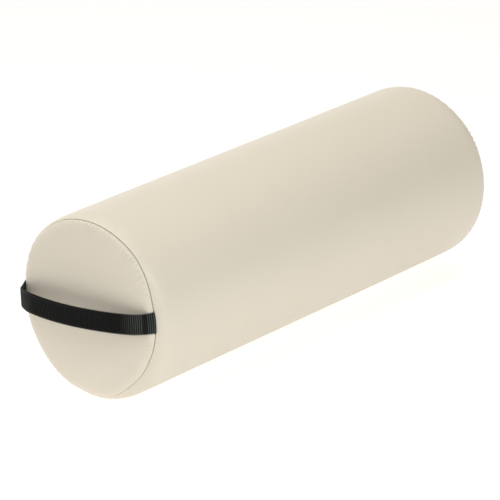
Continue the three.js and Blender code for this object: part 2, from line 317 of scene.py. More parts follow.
class Nodes:
    """Short names for building the nodes that feed the shader of a material or world."""

    def __init__(self, owner, shader):
        self.tree = owner.node_tree
        self.inputs = self.tree.nodes[shader].inputs

    def add(self, kind, inputs=None, **settings):
        """A node of that kind, with its settings, and with its inputs linked or set."""
        node = self.tree.nodes.new(kind)
        for key, value in settings.items():
            setattr(node, key, value)
        for key, value in (inputs or {}).items():
            if isinstance(value, bpy.types.NodeSocket):
                self.tree.links.new(value, node.inputs[key])
            else:
                node.inputs[key].default_value = value
        return node

    def drive(self, values):
        """Links each value to the shader's input of that name."""
        for name, value in values.items():
            self.tree.links.new(value, self.inputs[name])

    def place(self):
        """Where a point is, in metres."""
        return self.add("ShaderNodeTexCoord").outputs["Object"]

    def weave(self):
        """Distance along and across a woven piece, in metres."""
        stored = self.add("ShaderNodeAttribute", attribute_name="weave")
        parts = self.add("ShaderNodeSeparateXYZ", {0: stored.outputs["Vector"]})
        return parts.outputs["X"], parts.outputs["Y"]

    def math(self, operation, a, b=0):
        return self.add("ShaderNodeMath", {0: a, 1: b}, operation=operation).outputs["Value"]

    def ripple(self, along, pitch, shift=0.0):
        """A sine wave of that pitch, from -1 to 1."""
        turns = self.math("MULTIPLY", along, 2 * math.pi / pitch)
        return self.math("SINE", self.math("ADD", turns, shift))

    def noise(self, place, scale, detail=2.0, roughness=0.5):
        inputs = {"Vector": place, "Scale": scale, "Detail": detail, "Roughness": roughness}
        return self.add("ShaderNodeTexNoise", inputs).outputs["Fac"]

    def cells(self, place, scale, feature="F1"):
        inputs = {"Vector": place, "Scale": scale}
        return self.add("ShaderNodeTexVoronoi", inputs, feature=feature).outputs["Distance"]

    def spread(self, value, low, high, start=0.0, end=1.0):
        """Maps start..end onto low..high."""
        inputs = {"Value": value, "From Min": start, "From Max": end, "To Min": low, "To Max": high}
        return self.add("ShaderNodeMapRange", inputs).outputs["Result"]

    def mix_color(self, factor, dark, light):
        """A colour from dark, where the factor is 0, to light, where it is 1."""
        node = self.add("ShaderNodeMix", data_type="RGBA")
        factor_socket, a, b = (s for s in node.inputs if s.enabled)
        self.tree.links.new(factor, factor_socket)
        a.default_value = (*dark, 1)
        b.default_value = (*light, 1)
        return next(s for s in node.outputs if s.enabled)

    def bump(self, height, distance, strength=1.0, normal=None):
        inputs = {"Height": height, "Distance": distance, "Strength": strength}
        if normal is not None:
            inputs["Normal"] = normal
        return self.add("ShaderNodeBump", inputs).outputs["Normal"]


def vinyl_material():
    """Smooth cream upholstery vinyl with a very fine pebbled grain."""
    material, n = new_material("cover_vinyl", (0.66, 0.6, 0.5), 0.42)
    place = n.place()
    cloud = n.noise(place, scale=9.0, detail=3.0)
    color = n.mix_color(cloud, (0.653, 0.592, 0.488), (0.673, 0.61, 0.506))
    handled = n.noise(place, scale=60.0, detail=4.0)
    roughness = n.spread(handled, 0.37, 0.47, 0.3, 0.7)
    pores = n.cells(place, scale=1150.0, feature="SMOOTH_F1")
    grain = n.bump(pores, distance=0.05 * MM, strength=0.5)
    waves = n.noise(place, scale=45.0, detail=2.0)
    surface = n.bump(waves, distance=0.6 * MM, strength=0.12, normal=grain)
    n.drive({"Base Color": color, "Roughness": roughness, "Normal": surface})
    return material


def painted_rib_glints(n, along, length):
    """Painted highlight: how much paler the crests of the ribs are painted, as glints of the light,
    towards both ends of a strap that long.
    """
    crest = n.spread(n.ripple(along, RIB_PITCH, math.pi / 2), 0, 1, -0.6, 1)
    to_second = n.math("SUBTRACT", length - RIB_GLINT_FURTHER, along)
    near_end = n.spread(n.math("MINIMUM", along, to_second), 1, 0, *RIB_GLINT_REACH)
    # Painted shade at the crease: its glint is cut to a tenth.
    from_crease = n.math("ABSOLUTE", n.math("SUBTRACT", along, CREASE))
    unshaded_by_crease = n.spread(from_crease, 0.1, 1, 1.5 * MM, 4 * MM)
    return n.math("MULTIPLY", n.math("MULTIPLY", near_end, unshaded_by_crease), crest)


def webbing_material(length):
    """Black nylon webbing: heavy ribs across it, each made of small yarns side by side, with painted
    highlights on the ribs near its ends.
    """
    material, n = new_material("handle_webbing", (0.005, 0.005, 0.005), 0.5)
    n.inputs["Specular IOR Level"].default_value = 0.085
    along, across = n.weave()
    yarn = n.ripple(across, YARN_PITCH)
    weft = n.ripple(along, RIB_PITCH / 2, math.pi / 2)
    woven = n.math("MULTIPLY", yarn, weft)
    # The woven pattern's own colour, plus the painted glints on the rib crests near the strap's ends.
    pale = n.math("ADD", n.spread(woven, 0, 0.08, -1, 1), painted_rib_glints(n, along, length))
    color = n.mix_color(pale, (0.002, 0.002, 0.002), (0.056, 0.065, 0.057))
    fuzz = n.noise(n.place(), scale=2600.0, detail=2.0)
    height = n.math("ADD", woven, n.math("MULTIPLY", fuzz, 0.6))
    surface = n.bump(height, distance=0.14 * MM, strength=0.8)
    roughness = n.spread(fuzz, 0.4, 0.6)
    n.drive({"Base Color": color, "Roughness": roughness, "Normal": surface})
    return material


def zip_tape_material():
    """Beige polyester tape in a fine herringbone."""
    material, n = new_material("zip_tape", (0.5, 0.44, 0.34), 0.85)
    along, across = n.weave()
    slant = n.math("PINGPONG", across, 1.8 * MM)
    rib = n.ripple(n.math("ADD", along, slant), 0.55 * MM)
    color = n.mix_color(n.spread(rib, 0, 1, -1, 1), (0.42, 0.37, 0.28), (0.56, 0.5, 0.39))
    surface = n.bump(rib, distance=0.08 * MM, strength=0.7)
    n.drive({"Base Color": color, "Normal": surface})
    return material


def thread_material(name, dark, light):
    """Twisted sewing thread."""
    material, n = new_material(name, light, 0.55)
    ply = n.noise(n.place(), scale=2400.0, detail=1.0)
    surface = n.bump(ply, distance=0.06 * MM, strength=0.8)
    n.drive({"Base Color": n.mix_color(ply, dark, light), "Normal": surface})
    return material


def foam_material():
    """Cut open-cell foam."""
    material, n = new_material("foam", (0.72, 0.62, 0.36), 0.95)
    place = n.place()
    age = n.noise(place, scale=14.0, detail=3.0)
    color = n.mix_color(age, (0.7, 0.6, 0.34), (0.78, 0.69, 0.44))
    surface = n.bump(n.cells(place, scale=700.0), distance=0.5 * MM, strength=0.8)
    n.drive({"Base Color": color, "Normal": surface})
    return material


def fibre_material():
    """White polyester wadding."""
    material, n = new_material("fibre", (0.85, 0.84, 0.81), 1.0)
    n.inputs["Sheen Weight"].default_value = 0.3
    strands = n.noise(n.place(), scale=220.0, detail=6.0, roughness=0.7)
    color = n.mix_color(strands, (0.74, 0.73, 0.7), (0.92, 0.91, 0.88))
    surface = n.bump(strands, distance=1.5 * MM, strength=0.8)
    n.drive({"Base Color": color, "Normal": surface})
    return material


def coil_material():
    """Moulded polyester coil, a little glossy."""
    material, n = new_material("zip_coil", (0.55, 0.49, 0.38), 0.35)
    streak = n.noise(n.place(), scale=500.0, detail=2.0)
    color = n.mix_color(streak, (0.5, 0.44, 0.34), (0.6, 0.54, 0.43))
    n.drive({"Base Color": color, "Roughness": n.spread(streak, 0.28, 0.42)})
    return material


def metal_material():
    """Nickel-plated zinc with fine wear."""
    material, n = new_material("zip_metal", (0.55, 0.54, 0.51), 0.35, metallic=1.0)
    wear = n.noise(n.place(), scale=800.0, detail=4.0, roughness=0.6)
    color = n.mix_color(wear, (0.47, 0.46, 0.43), (0.62, 0.61, 0.58))
    surface = n.bump(wear, distance=0.03 * MM, strength=0.5)
    roughness = n.spread(wear, 0.25, 0.45)
    n.drive({"Base Color": color, "Roughness": roughness, "Normal": surface})
    return material


# ---------- mesh helpers


def new_piece(name, points, faces, material):
    """A piece of these points and faces."""
    mesh = bpy.data.meshes.new(name)
    vertices = [tuple(p) for p in np.reshape(points, (-1, 3))]
    mesh.from_pydata(vertices, [], [tuple(int(i) for i in f) for f in faces])
    mesh.validate()
    return show_mesh(name, mesh, material)


def show_mesh(name, mesh, material):
    """A piece of that mesh, smooth, with its material."""
    mesh.shade_smooth()
    mesh.materials.clear()
    mesh.materials.append(material)
    piece = bpy.data.objects.new(name, mesh)
    bpy.context.scene.collection.objects.link(piece)
    return piece


def set_weave(piece, along, across):
    """Stores the distances that a woven material is drawn by."""
    flat = np.zeros((len(piece.data.vertices), 3))
    flat[:, 0] = np.ravel(along)
    flat[:, 1] = np.ravel(across)
    stored = piece.data.attributes.new("weave", "FLOAT_VECTOR", "POINT")
    stored.data.foreach_set("vector", flat.ravel())


def grid_faces(rows, columns, wrap_rows=False, wrap_columns=False):
    """Quads of a grid whose point (i, j) is number i * columns + j."""
    i = np.arange(rows if wrap_rows else rows - 1)
    j = np.arange(columns if wrap_columns else columns - 1)
    i, j = (a.ravel() for a in np.meshgrid(i, j, indexing="ij"))
    below, right = (i + 1) % rows, (j + 1) % columns
    corners = (i * columns + j, i * columns + right, below * columns + right, below * columns + j)
    return np.stack(corners, axis=1)


def tube_faces(rings, sides):
    """Faces of a closed tube whose ring k holds the points from k * sides on."""
    walls = [tuple(face) for face in grid_faces(rings, sides, wrap_columns=True)]
    first = tuple(range(sides))
    last = tuple(range((rings - 1) * sides, rings * sides))
    return [*walls, first[::-1], last]


def read_points(mesh, what="co"):
    """The mesh's points, or its normals, as rows of three numbers."""
    values = np.empty(len(mesh.vertices) * 3)
    mesh.vertices.foreach_get(what, values)
    return values.reshape(-1, 3)


def write_points(mesh, points):
    """Moves the mesh's points to these."""
    mesh.vertices.foreach_set("co", points.ravel())
    mesh.update()


def smooth_step(value, start, end):
    """0 before start and 1 past end, with a soft rise between."""
    t = np.clip((value - start) / (end - start), 0, 1)
    return t * t * (3 - 2 * t)


def unit(vectors):
    """The vectors at a length of 1."""
    return vectors / np.linalg.norm(vectors, axis=-1, keepdims=True)


def bezier(start, start_aim, end_aim, end, steps):
    """Points on a cubic curve that leaves start towards start_aim and reaches end from end_aim."""
    t = np.linspace(0, 1, steps + 1)[:, None]
    a, b, c, d = (np.array(p) for p in (start, start_aim, end_aim, end))
    return (1 - t) ** 3 * a + 3 * (1 - t) ** 2 * t * b + 3 * (1 - t) * t**2 * c + t**3 * d


def spline(points, steps):
    """A centripetal Catmull-Rom curve through the points, with that many steps between them."""
    points = np.asarray(points, float)
    first, last = 2 * points[0] - points[1], 2 * points[-1] - points[-2]
    p = np.vstack([first, points, last])
    made = []
    for k in range(len(points) - 1):
        a, b, c, d = p[k : k + 4]
        knots = np.cumsum([0] + [np.linalg.norm(v) ** 0.5 for v in (b - a, c - b, d - c)])
        t = np.linspace(knots[1], knots[2], steps, endpoint=False)[:, None]
        t0, t1, t2, t3 = knots
        ab = (t1 - t) / (t1 - t0) * a + (t - t0) / (t1 - t0) * b
        bc = (t2 - t) / (t2 - t1) * b + (t - t1) / (t2 - t1) * c
        cd = (t3 - t) / (t3 - t2) * c + (t - t2) / (t3 - t2) * d
        abc = (t2 - t) / (t2 - t0) * ab + (t - t0) / (t2 - t0) * bc
        bcd = (t3 - t) / (t3 - t1) * bc + (t - t1) / (t3 - t1) * cd
        made.append((t2 - t) / (t2 - t1) * abc + (t - t1) / (t2 - t1) * bcd)
    made.append(points[-1:])
    return np.vstack(made)


def path_lengths(points):
    """Distance of each point from the first, along the path."""
    steps = np.linalg.norm(np.diff(points, axis=0), axis=1)
    return np.concatenate([[0], np.cumsum(steps)])


def round_point(x, angle, radius):
    """Points at an angle from +Y over the top, and at a radius from the roller's axis."""
    return np.stack([x, radius * np.cos(angle), AXIS_Z + radius * np.sin(angle)], axis=-1)


def round_direction(x, angle, radius):
    """Directions with a part along the roller and a part out from its axis, at an angle."""
    return round_point(x, angle, radius) - (0, 0, AXIS_Z)


def from_zip(angle):
    """Distance from the middle of the zip, round the cover."""
    turn = (angle - ZIP_ANGLE + math.pi) % (2 * math.pi) - math.pi
    return np.abs(turn) * RADIUS


def rings_around(path, normal, side, radius, count):
    """A ring of that many points round each point of a path."""
    turn = np.arange(count) / count * 2 * math.pi
    normal_part = np.cos(turn)[:, None] * normal[..., None, :]
    side_part = np.sin(turn)[:, None] * side[..., None, :]
    return path[..., None, :] + radius * (normal_part + side_part)


def give_thickness(piece):
    """Gives the vinyl its thickness, inwards."""
    skin = piece.modifiers.new("skin", "SOLIDIFY")
    skin.thickness = SKIN
    skin.offset = -1


def make_stitches(name, node, path, outward, stitch, material):
    """A row of stitches along the path: short threads that rise out of it and sink back. A
    stitch is its pitch, length and thickness."""
    pitch, length, thick = stitch
    steps, sides = 7, 6
    sunk = 0.7  # of the thread's thickness, at a stitch's ends
    taper = 0.35  # of its width, there
    lengths = path_lengths(path)
    count = int(lengths[-1] / pitch)
    reach = np.linspace(-1, 1, steps)
    at = (np.arange(count) + 0.5)[:, None] * lengths[-1] / count + reach * length / 2

    def sample(values):
        return np.stack([np.interp(at, lengths, values[:, k]) for k in range(3)], axis=-1)

    tangent = unit(sample(np.gradient(path, axis=0)))
    normal = unit(sample(outward))
    arch = np.sqrt(np.clip(1 - reach**2, 0, 1))[:, None]
    middle = sample(path) + normal * (arch - sunk) * thick
    radius = thick / 2 * (1 - taper * reach[:, None, None] ** 4)
    rings = rings_around(middle, normal, np.cross(tangent, normal), radius, sides)
    one = [np.array(face) for face in tube_faces(steps, sides)]
    faces = [face + steps * sides * k for k in range(count) for face in one]
    stitches = new_piece(name, rings, faces, material)
    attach(stitches, "roller")
    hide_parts(node)


# ---------- seams


def strap_window(angle):
    """1 where the handle is sewn into the seam, and 0 elsewhere."""
    from_strap = np.abs(SEAM_RADIUS * np.sin(angle) - (HANDLE_Z - AXIS_Z)) - STRAP_WIDTH / 2
    beside = np.abs(np.cos(angle)) > 0.5
    return beside * (1 - smooth_step(from_strap, -0.5 * MM, 2.5 * MM))


def seam_strays(angle, side):
    """How far the seam strays outwards from its circle, at the handle end or the other."""
    if side > 0:
        return (0.8 * np.sin(angle) + 0.5 * np.sin(2 * angle + 1)) * MM
    turn = (np.degrees(angle) + 180) % 360 - 180
    degrees, strays = np.array(SEAM_STRAYS, float).T
    place = np.interp(turn, degrees, np.arange(len(degrees)))
    before = np.minimum(place.astype(int), len(degrees) - 2)
    share = smooth_step(place - before, 0, 1)
    return (strays[before] + (strays[before + 1] - strays[before]) * share) * MM


def lip_profile(along, normal):
    """A panel's edge as it turns into the seam: offsets from the seam point, outermost first,
    with their outward normals. along points away from the seam, over the panel."""
    centre = along * (LIP + SEAM_GAP / 2) - normal * LIP
    turns = np.linspace(0, math.pi / 2, 7)[:, None]
    normals = normal * np.cos(turns) - along * np.sin(turns)
    foot = centre + normals[-1] * LIP
    deeper = [foot - normal * depth for depth in (SEAM_DEPTH / 2, SEAM_DEPTH)]
    offsets = np.vstack([centre + normals * LIP, *deeper])
    return offsets, np.vstack([normals, normals[-1], normals[-1]])


def make_seam_thread(name, node, side, thread):
    """The lockstitch row inside the seam, a little deeper than its lips."""
    depth = 4.2 * MM
    angle = np.linspace(0, 2 * math.pi, 721)
    radius = SEAM_RADIUS + seam_strays(angle, side) - SLANT_RADIUS * depth
    path = round_point(np.full(len(angle), side * (HALF - SLANT_X * depth)), angle, radius)
    outward = round_direction(np.full(len(angle), side * SLANT_X), angle, SLANT_RADIUS)
    make_stitches(name, node, path, outward, SEAM_STITCH, thread)


# ---------- cover


def profile_normals(points):
    """Unit normals on the left of an outline."""
    step = unit(np.gradient(points, axis=0))
    return np.stack([-step[:, 1], step[:, 0]], axis=1)


def tube_profile():
    """Half of the tube panel's outline, from inside the seam to the middle of the roller.
    Columns: distance in from the seam plane, radius, outward normal, and how much of the
    seam's straying each point follows."""
    along = np.array([math.cos(END_SLOPE), math.sin(END_SLOPE)])
    normal = np.array([-along[1], along[0]])
    lip, lip_normals = lip_profile(along, normal)
    seam = np.array([0, SEAM_RADIUS])
    start = seam + lip[0]
    end = np.array([END_ROUND, RADIUS])
    reach = END_ROUND * 0.42
    curve = bezier(start, start + along * reach, end - np.array([reach, 0]), end, 16)[1:]
    fine_until = 2.4 * END_ROUND
    plain = np.concatenate([
        np.linspace(END_ROUND, fine_until, 8)[1:],
        np.linspace(fine_until, HALF, TUBE_ALONG)[1:],
    ])
    straight = np.stack([plain, np.full(len(plain), RADIUS)], axis=1)
    outside = np.vstack([curve, straight])
    points = np.vstack([(seam + lip)[::-1], outside])
    normals = np.vstack([lip_normals[::-1], profile_normals(outside)])
    follow = np.clip((RADIUS - points[:, 1:]) / (RADIUS - start[1]), 0, 1)
    return np.hstack([points, normals, follow])


def lay_down(points, floor=0.0):
    """Flattens the lowest part at that height, as the foam settles on the ground."""
    soft = 0.8 * MM
    z = points[..., 2] - floor
    points[..., 2] = np.where(z < soft, soft * np.exp((z - soft) / soft), z) + floor
    return points


def unevenness(x, angle):
    """The small waves of vinyl over foam, as a change of radius. Each has a size in millimetres,
    a number of waves round the roller, radians per metre along it, and its two phases."""
    waves = (
        (0.22, 2, 4.1, 0.4, 1.3),
        (0.16, 3, 9.0, 2.1, 0.2),
        (0.10, 5, 15.0, 4.0, 2.5),
        (0.05, 9, 31.0, 1.1, 4.4),
    )
    total = np.zeros(np.broadcast(x, angle).shape)
    for size, around, lengthways, phase, start in waves:
        total += size * np.sin(around * angle + phase) * np.sin(lengthways * x + start)
    return total * MM


def slot_edge():
    """The vinyl's edge at the zip, folded under: distances from the slot, and depths."""
    turn = np.linspace(-math.pi / 2, math.pi / 2, 9)
    roll = [(LIP * (1 - math.cos(t)), LIP * (1 - math.sin(t))) for t in turn]
    hem = (8 * MM, 2 * LIP + 0.1 * MM)
    fine = LIP + np.arange(0.8, 14.1, 0.8) * MM
    edge = [hem, *roll, *((across, 0.0) for across in fine)]
    return np.array(edge).T


def stitch_groove(x, angle):
    """How far the rows of stitching beside the zip pull the vinyl in."""
    groove = np.exp(-(((from_zip(angle) - STITCH_ACROSS) / GROOVE_REACH) ** 2))
    return STITCH_SINK * groove * smooth_step(SLOT_HALF + 4 * MM - np.abs(x), 0, 4 * MM)


def gathers(angle):
    """Folds of uneven size round the tube panel's end, as a change of radius."""
    size = 0.6 + 0.4 * np.sin(3 * angle + 1)
    return GATHER_DEPTH * size * np.sin(GATHERS_AROUND * angle + 2 * np.sin(7 * angle))


def slot_rows(x):
    """The angle of each point of the tube panel, from one side of the zip's slot round to the
    other, with each row's depth below the surface. The slot closes towards both ends."""
    opening = smooth_step(SLOT_HALF - np.abs(x), -4 * MM, 3 * MM)
    slot = SEAM_GAP / 2 + (SLOT_SIDE - SEAM_GAP / 2) * opening
    across, depth = slot_edge()
    low_edge = ZIP_ANGLE + (slot[None, :] + across[:, None]) / RADIUS
    high_edge = ZIP_ANGLE + 2 * math.pi - (slot[None, :] + across[::-1, None]) / RADIUS
    share = np.linspace(0, 1, TUBE_AROUND)[1:-1, None]
    between = low_edge[-1:] + (high_edge[:1] - low_edge[-1:]) * share
    angle = np.vstack([low_edge, between, high_edge])
    return angle, np.concatenate([depth, np.zeros(len(share)), depth[::-1]])[:, None]


def make_tube(vinyl):
    """The panel round the roller, from seam to seam and from one side of the zip to the other."""
    half = tube_profile()
    front = half.copy()
    front[:, 0] = half[:, 0] - HALF
    rear = half[:-1][::-1].copy()
    rear[:, 0] = HALF - rear[:, 0]
    rear[:, 2] *= -1
    x, radius, normal_x, normal_r, follow = np.vstack([front, rear]).T
    angle, depth = slot_rows(x)

    px = x - depth * normal_x
    pr = radius - depth * normal_r
    pr = pr + follow * np.where(x < 0, seam_strays(angle, -1), seam_strays(angle, 1))
    pr = pr + unevenness(px, angle) * (1 - follow) - stitch_groove(px, angle)
    pr = pr + gathers(angle) * 4 * follow * (1 - follow)
    parting = STRAP_THICKNESS / 2 * follow**4 * strap_window(angle) * (x < 0)
    px = px + parting * math.sin(END_SLOPE)
    pr = pr + parting * math.cos(END_SLOPE)
    points = lay_down(round_point(px, angle, pr))
    faces = grid_faces(len(angle), len(x))[:, ::-1]
    tube = new_piece("cover_tube", points, faces, vinyl)
    give_thickness(tube)
    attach(tube, "roller")
    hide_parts("cover_body")


def disc_faces(rings):
    """Triangles of a disc whose ring k holds 6k points after one middle point."""
    faces = []
    for k in range(1, rings + 1):
        outer = 1 + 3 * k * (k - 1)
        inner = outer - 6 * (k - 1) if k > 1 else 0
        inside = max(6 * (k - 1), 1)
        for sector in range(6):
            for step in range(k):
                a = outer + sector * k + step
                b = outer + (sector * k + step + 1) % (6 * k)
                c = inner + (sector * (k - 1) + step) % inside
                faces.append((a, b, c))
                if step:
                    d = inner + (sector * (k - 1) + step - 1) % inside
                    faces.append((a, c, d))
    return faces


def panel_profile():
    """The end panel's outline from its middle to the start of its lip, as (radius, height out
    of the seam plane), and the lip's offsets from the seam point."""
    along = np.array([-math.cos(SHOULDER_SLOPE), math.sin(SHOULDER_SLOPE)])
    normal = np.array([along[1], -along[0]])
    lip, _ = lip_profile(along, normal)
    end = np.array([SEAM_RADIUS, 0]) + lip[0]
    crown = np.linspace(0, PANEL_FLAT, 40)
    middle = np.stack([crown, BULGE + CROWN * (1 - (crown / PANEL_FLAT) ** 2)], axis=1)
    start = middle[-1]
    start_aim = start + np.array([SHOULDER * 0.5, -CROWN * SHOULDER / PANEL_FLAT])
    shoulder = bezier(start, start_aim, end + along * SHOULDER * 0.3, end, 40)
    return np.vstack([middle, shoulder[1:]]), lip


def add_pressure_cloth(panel):
    """Soft vinyl cloth with air behind it, held and loose by the panel's vertex groups."""
    cloth = panel.modifiers.new("cloth", "CLOTH")
    cloth.settings.quality = 6
    cloth.settings.tension_stiffness = 40
    cloth.settings.compression_stiffness = 40
    cloth.settings.shear_stiffness = 20
    cloth.settings.bending_stiffness = 0.6
    cloth.settings.air_damping = 3
    cloth.settings.use_pressure = True
    cloth.settings.uniform_pressure_force = 4
    cloth.settings.effector_weights.gravity = 0
    cloth.settings.vertex_group_mass = "held"
    cloth.settings.vertex_group_shrink = "loose"
    cloth.settings.shrink_min = 0.0
    cloth.settings.shrink_max = -0.04
    cloth.collision_settings.use_collision = False
    cloth.point_cache.frame_end = PRESSURE_FRAMES
    return cloth


def puff(panel, held, loose):
    """Presses the panel out by the filling behind it, as cloth. held and loose are the weights
    with which each point is fixed, and with which its vinyl was cut too large."""
    for name, weights in (("held", held), ("loose", loose)):
        group = panel.vertex_groups.new(name=name)
        for k in np.nonzero(weights > 0.01)[0]:
            group.add([int(k)], float(weights[k]), "REPLACE")
    before = read_points(panel.data)
    cloth = add_pressure_cloth(panel)
    scene = bpy.context.scene
    for step in range(1, PRESSURE_FRAMES + 1):
        scene.frame_set(step)
    shown = panel.evaluated_get(bpy.context.evaluated_depsgraph_get())
    move = read_points(shown.data) - before
    panel.modifiers.remove(cloth)
    scene.frame_set(1)
    far = np.linalg.norm(move, axis=1, keepdims=True)
    move *= MOST_PUFF * np.tanh(far / MOST_PUFF) / np.maximum(far, 1e-9)
    write_points(panel.data, before + move)


def subdivide(piece):
    """One level of subdivision, applied."""
    piece.modifiers.new("finer", "SUBSURF").levels = 1
    shown = piece.evaluated_get(bpy.context.evaluated_depsgraph_get())
    finer = bpy.data.meshes.new_from_object(shown)
    piece.modifiers.clear()
    piece.data = finer
    finer.shade_smooth()


def pucker(panel, side):
    """Small folds where the end panel is gathered into the seam."""
    points = read_points(panel.data)
    angle = np.arctan2(points[:, 2] - AXIS_Z, points[:, 1])
    radius = np.hypot(points[:, 2] - AXIS_Z, points[:, 1])
    inside = SEAM_RADIUS + seam_strays(angle, side) - radius
    depth = 0
    for middle, reach, most in PUCKERS:
        away = np.abs((np.degrees(angle) - middle + 180) % 360 - 180)
        depth = depth + most * MM * (1 - smooth_step(away, reach * 0.4, reach))
    depth = depth * smooth_step(inside, 0.4 * MM, 2.5 * MM)
    fold = np.sin(PUCKERS_AROUND * angle + 2.5 * np.sin(11 * angle) + 1.5 * np.sin(5 * angle))
    length = 7 * MM + 4 * MM * np.sin(23 * angle)
    fade = 1 - smooth_step(inside, 0.4 * length, length + 4 * MM)
    points += (depth * fade * fold)[:, None] * read_points(panel.data, "normal")
    write_points(panel.data, points)


def panel_rows(outline, lip):
    """The angle, radius and height of every point of an end panel: its middle, its rings, and
    the rows of its lip."""
    lengths = path_lengths(outline)
    rows = []
    for k in range(PANEL_RINGS + 1):
        count = max(6 * k, 1)
        length = lengths[-1] * k / PANEL_RINGS
        radius = np.interp(length, lengths, outline[:, 0])
        out = np.interp(length, lengths, outline[:, 1])
        angle = np.arange(count) / count * 2 * math.pi
        rows.append(np.stack([angle, np.full(count, radius), np.full(count, out)], axis=1))
    for offset_radius, offset_out in lip[1:]:
        radius = np.full(PANEL_RIM, SEAM_RADIUS + offset_radius)
        rows.append(np.stack([angle, radius, np.full(PANEL_RIM, offset_out)], axis=1))
    return np.vstack(rows).T


def panel_faces(first_rim, lip_rows, side):
    """Faces of an end panel: its disc, and the lip's rows from point first_rim on."""
    lip = first_rim + grid_faces(lip_rows, PANEL_RIM, wrap_columns=True)[:, [0, 3, 2, 1]]
    faces = [*disc_faces(PANEL_RINGS), *lip]
    return [face[::-1] for face in faces] if side < 0 else faces


def panel_weights(angle, radius, follow, side):
    """How firmly the seam holds each point, and how much too large the vinyl is cut there."""
    held = smooth_step(radius, SEAM_RADIUS - 2.5 * MM, SEAM_RADIUS - 1.2 * MM)
    held = np.maximum(held, strap_window(angle) * smooth_step(follow, 0.5, 0.8) * (side < 0))
    uneven = 0.55 + 0.25 * np.sin(3 * angle + 0.6) + 0.2 * np.sin(7 * angle + 2.0)
    loose = uneven * smooth_step(radius, PANEL_FLAT - 6 * MM, PANEL_FLAT + 8 * MM)
    return held, loose


def make_end_panel(name, node, side, vinyl):
    """A domed end of the cover, puffed by its filling and gathered into the seam."""
    outline, lip = panel_profile()
    angle, radius, out = panel_rows(outline, lip)
    first_rim = len(angle) - PANEL_RIM * len(lip)
    follow = np.clip((radius - PANEL_FLAT) / (outline[-1, 0] - PANEL_FLAT), 0, 1)
    follow[first_rim:] = 1
    parted = STRAP_THICKNESS / 2 * follow**3 * strap_window(angle) * (side < 0)
    moved_radius = radius + seam_strays(angle, side) * follow - SLANT_X * parted
    points = round_point(side * (HALF + out + SLANT_RADIUS * parted), angle, moved_radius)
    faces = panel_faces(first_rim, len(lip), side)
    panel = new_piece(name, points, faces, vinyl)

    held, loose = panel_weights(angle, radius, follow, side)
    held[first_rim:] = 1
    puff(panel, held, loose * (1 - held))
    subdivide(panel)
    pucker(panel, side)
    give_thickness(panel)
    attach(panel, "roller")
    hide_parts(node)


# ---------- filling


def make_turned(name, node, outline, material, ripple):
    """A soft solid turned about the roller's axis from an outline of (x, radius), with slight
    unevenness, and with a flat spot at each end."""
    around = 144
    angle = np.arange(around)[:, None] / around * 2 * math.pi
    x, radius = np.array(outline).T
    radius = radius + ripple * np.sin(5 * angle + 40 * x) * np.sin(3 * angle)
    along = np.broadcast_to(x, radius.shape)
    points = lay_down(round_point(along, angle, radius), floor=2 * MM)
    first = np.arange(around) * len(x)
    last = first + len(x) - 1
    faces = [*grid_faces(around, len(x), wrap_rows=True), first, last[::-1]]
    piece = new_piece(name, points, faces, material)
    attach(piece, "roller")
    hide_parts(node)


def make_core(foam):
    """The foam cylinder, with its ends pressed round."""
    turn = np.linspace(0, math.pi / 2, 9)
    corner_x = CORE_HALF - CORNER * (1 - np.sin(turn))
    corner_radius = CORE_RADIUS - CORNER * (1 - np.cos(turn))
    end = np.stack([corner_x, corner_radius], axis=1)[::-1]
    flat_end = [(CORE_HALF, radius) for radius in (8 * MM, 50 * MM)]
    middle = [(x, CORE_RADIUS) for x in np.linspace(CORE_STRAIGHT, -CORE_STRAIGHT, 15)]
    half = np.vstack([flat_end, end])
    outline = [*half, *middle, *(half[::-1] * (-1, 1))]
    make_turned("foam_roll", "foam_core", outline, foam, 0.3 * MM)


def make_pad(name, node, side, fibre):
    """The wadding that fills one domed end, from just inside its panel to the foam."""
    below_panel = 1.9 * MM
    dome, _ = panel_profile()
    dome = dome[dome[:, 0] < PAD_RADIUS - 4 * MM]
    top = [(HALF + out - below_panel, max(radius, PAD_EYE)) for radius, out in dome[::4]]
    edge = [(HALF + 3.5 * MM, PAD_RADIUS - 1 * MM), (HALF + 1 * MM, PAD_RADIUS)]
    base = [(CORE_HALF + GAP, PAD_RADIUS - 3 * MM), (CORE_HALF + GAP, PAD_EYE)]
    outline = np.array(top + edge + base) * (side, 1)
    if side < 0:
        outline = outline[::-1]
    make_turned(name, node, outline, fibre, 0.0)


def make_wrap(fibre):
    """The wadding round the foam, pressed thinner under the zip."""
    around = 240
    x = np.linspace(-WRAP_HALF, WRAP_HALF, 90)
    angle = np.arange(around)[:, None] / around * 2 * math.pi
    past_coil = smooth_step(from_zip(angle), 8 * MM, 11 * MM)
    past_tape = smooth_step(from_zip(angle), 19 * MM, 24 * MM)
    at_coil, at_tape, elsewhere = WRAP_RADII
    outer = at_coil + (at_tape - at_coil) * past_coil + (elsewhere - at_tape) * past_tape
    tuck = WRAP_TUCK * smooth_step(np.abs(x), WRAP_HALF - 10 * MM, WRAP_HALF)
    loft = 0.25 * MM * np.sin(9 * angle + 30 * x) * np.sin(4 * angle - 17 * x)
    outside = outer - tuck + loft
    inside = np.full_like(outside, CORE_RADIUS + 2 * GAP)
    radius = np.hstack([outside, inside[:, ::-1]])
    along = np.broadcast_to(np.concatenate([x, x[::-1]]), radius.shape)
    points = lay_down(round_point(along, angle, radius), floor=1.6 * MM)
    faces = grid_faces(around, radius.shape[1], wrap_rows=True, wrap_columns=True)
    wrap = new_piece("fibre_sleeve", points, faces[:, ::-1], fibre)
    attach(wrap, "roller")
    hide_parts("fibre_wrap")


# ---------- handle


